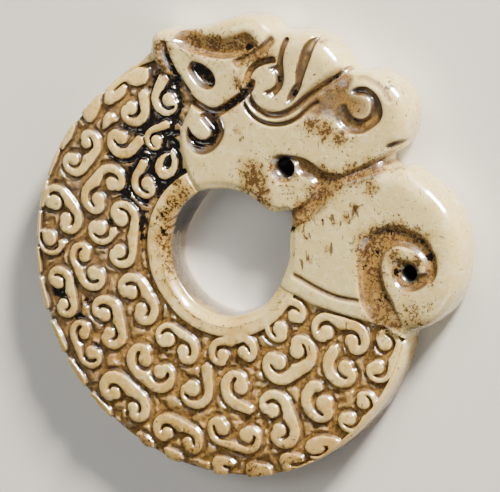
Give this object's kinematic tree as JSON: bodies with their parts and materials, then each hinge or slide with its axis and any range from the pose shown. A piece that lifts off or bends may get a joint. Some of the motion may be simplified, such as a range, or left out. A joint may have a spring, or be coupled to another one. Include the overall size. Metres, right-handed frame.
{
  "type": "dragon pendant",
  "caption": "Flat carved jade pendant: a coiled dragon covered in curled scrolls round an open middle, its head biting towards its rolled-up tail.",
  "frame": {"origin": "middle of the pendant's box, in the plane of its back, where it lies", "axes": "+Z out of the carved front face, +Y towards the top of the head, +X towards the rolled tail"},
  "size_m": [0.0762, 0.0738, 0.0074],
  "materials": {
    "aged_jade": "polished, with brown staining in the carving"
  },
  "bodies": {
    "root": {"dragon_pendant": "aged_jade"}
  },
  "joints": []
}
